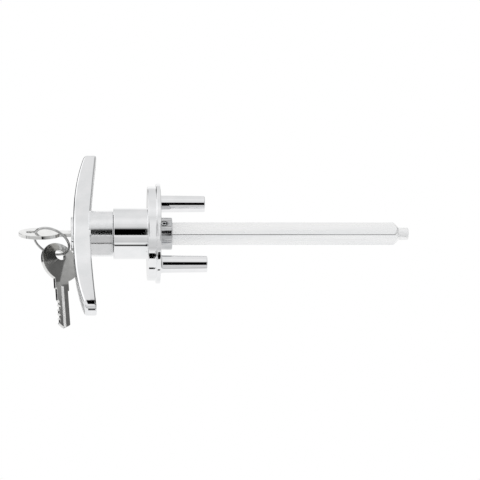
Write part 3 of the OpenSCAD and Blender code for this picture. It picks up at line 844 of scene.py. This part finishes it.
# The spare key's flat faces take the darker copy of the nickel: painted shade
for face in spare.data.polygons:
    x, y, z = unhang @ face.center / MM
    across = abs((unhang.to_3x3() @ face.normal).y)
    below_face = 0.02 - KEY_T / 2 < y < -0.2
    # The groove's faces take the painted highlight
    if below_face and x > KEY_GROOVE_START - 0.1 and abs(z) < KEY_GROOVE_W / 2 + 0.01:
        face.material_index = IN_GROOVE
    elif across > 0.95:
        face.material_index = ON_KEY_FACE
stand_for(key_ring(), "key_ring", "ring", ring_steel)

STEEL_NODES = ("cylinder_pin", "plug_clip", "locking_bolt", "spindle_pin", "retaining_ring", "spring_washer")
for node_name, node in frame["nodes"].items():
    if node_name.startswith("wafer_spring") or node_name in STEEL_NODES:
        dress(node, steel)
    elif node_name.startswith("wafer"):
        dress(node, brass)
    elif node_name == "lock_plug":
        dress(node, plug_metal)
    else:
        dress(node, chrome)
    node.data.shade_smooth()
    node.data.set_sharp_from_angle(angle=math.radians(30))


# Camera

def camera():
    """Stands low on the photographer's side, turned a little towards the lock."""
    low = math.radians(CAMERA_LOW)
    yaw = math.radians(CAMERA_YAW)
    up = Vector((0, -math.sin(low), math.cos(low)))
    towards = Vector((0, -math.cos(low), -math.sin(low)))
    along = Vector((1, 0, 0))
    back = towards * math.cos(yaw) - along * math.sin(yaw)
    right = along * math.cos(yaw) + towards * math.sin(yaw)
    target = Vector((AIM_ALONG * MM, 0, 0)) + up * AIM_UP * MM
    data = bpy.data.cameras.new("camera")
    data.angle = math.radians(CAMERA_FIELD)
    data.clip_start = 0.01
    obj = bpy.data.objects.new("camera", data)
    rotation = Matrix((right, up, back)).transposed().to_4x4()
    obj.matrix_world = Matrix.Translation(target + back * CAMERA_DISTANCE) @ rotation
    bpy.context.scene.collection.objects.link(obj)
    bpy.context.scene.camera = obj


# Studio

# What polished metal mirrors, by the direction's height in degrees round the spindle's axis:
# 0 is straight out to the photographer's side, 90 is up, -90 is down and 180 is away
STUDIO_STOPS = (
    (-180, 0.9), (-130, 0.94), (-103, 0.92), (-99.3, 0.8), (-97.2, 0.03), (-91.7, 0.03), (-89.4, 0.9),
    (-85, 0.9), (-79, 0.66), (-75, 0.59), (-70, 0.66), (-62, 0.66), (-56, 0.72), (-52, 0.82), (-48, 0.86),
    (-12, 0.86), (0, 0.76), (5, 0.84), (21, 0.9), (40, 0.81), (64, 0.82), (95, 0.755), (103, 0.78),
    (112, 1), (124, 1), (131, 0.79), (139, 0.77), (142.5, 0.93), (180, 0.93))

# Patches over it, later ones on top: the level, and the edges from 0 to all of it. The first edge is in the
# direction's share along the spindle, where -1 is away from the door, and the other two are in its height
STUDIO_PATCHES = (
    # White towards the front of the lock, and a dark edge behind that
    (1.15, (-0.28, -0.4), (12, 22), (96, 90)),
    (0.04, (-0.25, -0.33), (90, 96), (136, 133)),
    # Grey towards the door: above the photographer, overhead and behind, and below
    (0.5, (0.42, 0.56), (20, 30), (143, 141)),
    (0.3, (0.38, 0.48), (86, 92), (143, 141)),
    (0.25, (0.6, 0.75), (-110, -100), (30, 20)),
    # A narrow dark band behind, which only the far half of the spindle mirrors
    (0.2, (0.065, 0.09), (136, 139), (143, 141)))

# What dull surfaces see all round
PLAIN_LEVEL = 0.95


def math_node(tree, operation, first, second=None):
    node = tree.nodes.new("ShaderNodeMath")
    node.operation = operation
    for socket, value in zip(node.inputs, (first, second)):
        if isinstance(value, (int, float)):
            socket.default_value = value
        elif value is not None:
            tree.links.new(value, socket)
    return node.outputs[0]


def step_node(tree, value, start, end):
    """0 below the start and 1 above the end; the other way round where the start is the larger."""
    node = tree.nodes.new("ShaderNodeMapRange")
    node.interpolation_type = "SMOOTHSTEP"
    low, high = min(start, end), max(start, end)
    node.inputs["From Min"].default_value = low
    node.inputs["From Max"].default_value = high
    node.inputs["To Min"].default_value = 0 if start < end else 1
    node.inputs["To Max"].default_value = 1 if start < end else 0
    tree.links.new(value, node.inputs["Value"])
    return node.outputs["Result"]


def patch(tree, level, strength, inside):
    """Changes the mirrored level to a strength where inside is 1."""
    blend = tree.nodes.new("ShaderNodeMix")
    blend.data_type = "FLOAT"
    tree.links.new(inside, blend.inputs[0])
    tree.links.new(level, blend.inputs[2])
    blend.inputs[3].default_value = strength
    return blend.outputs[0]


def world():
    """Polished metal mirrors the studio's levels, dull surfaces see a plain light, and the camera white."""
    scene_world = bpy.data.worlds.new("studio")
    bpy.context.scene.world = scene_world
    scene_world.use_nodes = True
    tree = scene_world.node_tree
    tree.nodes.clear()
    output = tree.nodes.new("ShaderNodeOutputWorld")
    path = tree.nodes.new("ShaderNodeLightPath")
    coords = tree.nodes.new("ShaderNodeTexCoord")
    split = tree.nodes.new("ShaderNodeSeparateXYZ")
    tree.links.new(coords.outputs["Generated"], split.inputs["Vector"])
    along = split.outputs["X"]
    away = math_node(tree, "MULTIPLY", split.outputs["Y"], -1)
    turn = math_node(tree, "ARCTAN2", split.outputs["Z"], away)
    height = math_node(tree, "MULTIPLY", turn, 180 / math.pi)
    spread = math_node(tree, "ADD", math_node(tree, "DIVIDE", height, 360), 0.5)
    ramp = tree.nodes.new("ShaderNodeValToRGB")
    elements = ramp.color_ramp.elements
    while len(elements) < len(STUDIO_STOPS):
        elements.new(0.5)
    for element, (angle, level) in zip(elements, STUDIO_STOPS):
        element.position = (angle + 180) / 360
        element.color = (level, level, level, 1)
    tree.links.new(spread, ramp.inputs["Fac"])
    # Adding nothing turns the ramp's colour into a number
    level = math_node(tree, "ADD", ramp.outputs["Color"], 0)
    for strength, along_edge, *height_edges in STUDIO_PATCHES:
        inside = step_node(tree, along, *along_edge)
        for edge in height_edges:
            inside = math_node(tree, "MULTIPLY", inside, step_node(tree, height, *edge))
        level = patch(tree, level, strength, inside)
    mirrored = tree.nodes.new("ShaderNodeBackground")
    tree.links.new(level, mirrored.inputs["Color"])
    plain = tree.nodes.new("ShaderNodeBackground")
    plain.inputs["Color"].default_value = (PLAIN_LEVEL, PLAIN_LEVEL, PLAIN_LEVEL, 1)
    white = tree.nodes.new("ShaderNodeBackground")
    white.inputs["Color"].default_value = (1, 1, 1, 1)
    shine = tree.nodes.new("ShaderNodeMixShader")
    tree.links.new(path.outputs["Is Glossy Ray"], shine.inputs["Fac"])
    tree.links.new(plain.outputs[0], shine.inputs[1])
    tree.links.new(mirrored.outputs[0], shine.inputs[2])
    seen = tree.nodes.new("ShaderNodeMixShader")
    tree.links.new(path.outputs["Is Camera Ray"], seen.inputs["Fac"])
    tree.links.new(shine.outputs[0], seen.inputs[1])
    tree.links.new(white.outputs[0], seen.inputs[2])
    tree.links.new(seen.outputs[0], output.inputs["Surface"])


def dull_material(name, level):
    """An even dull grey that mirrors nothing."""
    material, tree, shader = new_material(name)
    shader.inputs["Base Color"].default_value = (level, level, level, 1)
    shader.inputs["Roughness"].default_value = 0.9
    shader.inputs["Specular IOR Level"].default_value = 0
    return material, tree, shader


def floor_material(name):
    """A light floor that the camera sees as pure white."""
    material, tree, shader = dull_material(name, 0.9)
    path = tree.nodes.new("ShaderNodeLightPath")
    light = tree.nodes.new("ShaderNodeEmission")
    light.inputs["Color"].default_value = (1, 1, 1, 1)
    mix = tree.nodes.new("ShaderNodeMixShader")
    tree.links.new(path.outputs["Is Camera Ray"], mix.inputs["Fac"])
    tree.links.new(shader.outputs[0], mix.inputs[1])
    tree.links.new(light.outputs[0], mix.inputs[2])
    tree.links.new(mix.outputs[0], tree.nodes["Material Output"].inputs["Surface"])
    return material


def sheet_between(name, corners):
    """A flat sheet; its front is the side from which the corners run anticlockwise."""
    mesh = bpy.data.meshes.new(name)
    mesh.from_pydata([Vector(c) * MM for c in corners], [], [(0, 1, 2, 3)])
    obj = bpy.data.objects.new(name, mesh)
    bpy.context.scene.collection.objects.link(obj)
    return obj


def card_material(name, grey, fade_from, one_sided, even):
    """Black that lightens to a grey halfway up, or an even grey. It fades out towards the card's upper edge."""
    material, tree, shader = dull_material(name, 0)
    coords = tree.nodes.new("ShaderNodeTexCoord")
    split = tree.nodes.new("ShaderNodeSeparateXYZ")
    tree.links.new(coords.outputs["Generated"], split.inputs["Vector"])
    shader.inputs["Emission Color"].default_value = (1, 1, 1, 1)
    shader.inputs["Emission Strength"].default_value = grey
    if not even:
        rise = step_node(tree, split.outputs["Z"], 0.12, 0.5)
        tree.links.new(math_node(tree, "MULTIPLY", rise, grey), shader.inputs["Emission Strength"])
    cover = step_node(tree, split.outputs["Z"], 1, fade_from)
    if one_sided:
        surface = tree.nodes.new("ShaderNodeNewGeometry")
        front = math_node(tree, "SUBTRACT", 1, surface.outputs["Backfacing"])
        cover = math_node(tree, "MULTIPLY", cover, front)
    tree.links.new(cover, shader.inputs["Alpha"])
    return material


def flag(name, corners, grey=0, fade_from=0.995, one_sided=False, even=False):
    """A dark card that only shows in the polished metal, given by its two lower corners and its upper ones."""
    card = sheet_between(name, corners)
    dress(card, card_material(name + "_card", grey, fade_from, one_sided, even))
    card.visible_camera = False
    card.visible_diffuse = False
    card.visible_shadow = False
    card.visible_transmission = False


def floor():
    far, level = 4000, -1000
    corners = [(-far, -far, level), (far, -far, level), (far, far, level), (-far, far, level)]
    sheet = sheet_between("floor", corners)
    dress(sheet, floor_material("floor_white"))
    sheet.visible_glossy = False


camera()
world()
floor()

# The black band on the neck and the sleeve: this card leans so far that the bar's lower end mirrors more of
# it than the neck does, and a grey one stands before it
flag("flag_front", [(-40, -118, -125), (-2.6, -118, -125), (-5.1, -50.5, -13), (-40, -50.5, -13)],
    fade_from=0.86)
flag("flag_front_haze", [(-33.6, -60, -28.7), (-5.6, -60, -28.7), (-5.6, -45.8, -5.2), (-33.6, -45.8, -5.2)],
    grey=0.6, fade_from=0.55)
# Below the neck a dull floor of three cards, of which the middle one draws the neck's soft line
flag("flag_neck_front", [(-34, -17, -20), (-22.9, -17, -20), (-22.9, -5.4, -20), (-34, -5.4, -20)],
    grey=0.54, one_sided=True)
flag("flag_neck_line", [(-34, -5.4, -20), (-22.9, -5.4, -20), (-22.9, -3.9, -20), (-34, -3.9, -20)],
    grey=0.05, one_sided=True)
flag("flag_neck_rear", [(-34, -3.9, -20), (-22.9, -3.9, -20), (-22.9, 120, -20), (-34, 120, -20)],
    grey=0.7, one_sided=True)
# What the posts mirror as their black line
flag("flag_rear", [(7, -144, -204), (90, -144, -204), (90, -240, -58), (7, -240, -58)], fade_from=0.85)
# This card only faces up to the collar, so that the lower post doesn't mirror it
flag("flag_collar", [(0.6, -22.5, -10), (6.4, -22.5, -10), (6.4, -13.4, -9.8), (0.6, -13.4, -9.8)],
    one_sided=True)
# The dark blocks and the thin lines low on the disc and on its flange, and the line on the bar's end
flag("flag_disc", [(-5, -11.5, -89), (-0.9, -11.5, -89), (-0.9, 9.5, -90), (-5, 9.5, -90)])
flag("flag_rim", [(-0.6, -20, -89), (2.6, -20, -89), (2.6, 5, -90), (-0.6, 5, -90)])
flag("flag_disc_line", [(-4.8, 39, -69), (-0.9, 39, -69), (-0.9, 48.5, -68), (-4.8, 48.5, -68)])
flag("flag_rim_line", [(-0.6, 36.4, -69.3), (2.4, 36.4, -69.3), (2.4, 40.6, -66.7), (-0.6, 40.6, -66.7)])
flag("flag_end", [(-37, 1, -61.9), (-30.4, 1, -61.9), (-30.4, 6.6, -60), (-37, 6.6, -60)])
# The lower arm's back edge looks along the spindle at this card
flag("flag_arm", [(-23.1, 8, -46), (-23.1, -20, -46), (-23.1, -20, -13), (-23.1, 8, -13)],
    grey=0.25, one_sided=True)
# The card beside the keys only faces them
flag("flag_keys", [(-40.6, 80, -90), (-40.6, -140, -90), (-40.6, -140, 120), (-40.6, 80, 120)],
    grey=0.8, one_sided=True)
# Three darker ones before it stand for what the spare key mirrors in its bow and on the right of its blade
flag("flag_bow", [(-44.2, 10.3, -17.5), (-44.2, 1, -17.5), (-44.2, 1, -4.5), (-44.2, 10.9, -4.5)],
    grey=0.2, one_sided=True, even=True)
flag("flag_bow_dark", [(-44.2, 10.9, -4.5), (-44.2, 1, -4.5), (-44.2, 1, -0.3), (-44.2, 9, -0.3)],
    grey=0.05, one_sided=True, even=True)
flag("flag_blade", [(-40.8, 40, -60), (-40.8, 17.5, -60), (-40.8, 9.8, -17), (-40.8, 40, -17)],
    grey=0.22, one_sided=True, even=True)

bpy.context.scene.view_settings.view_transform = "Standard"
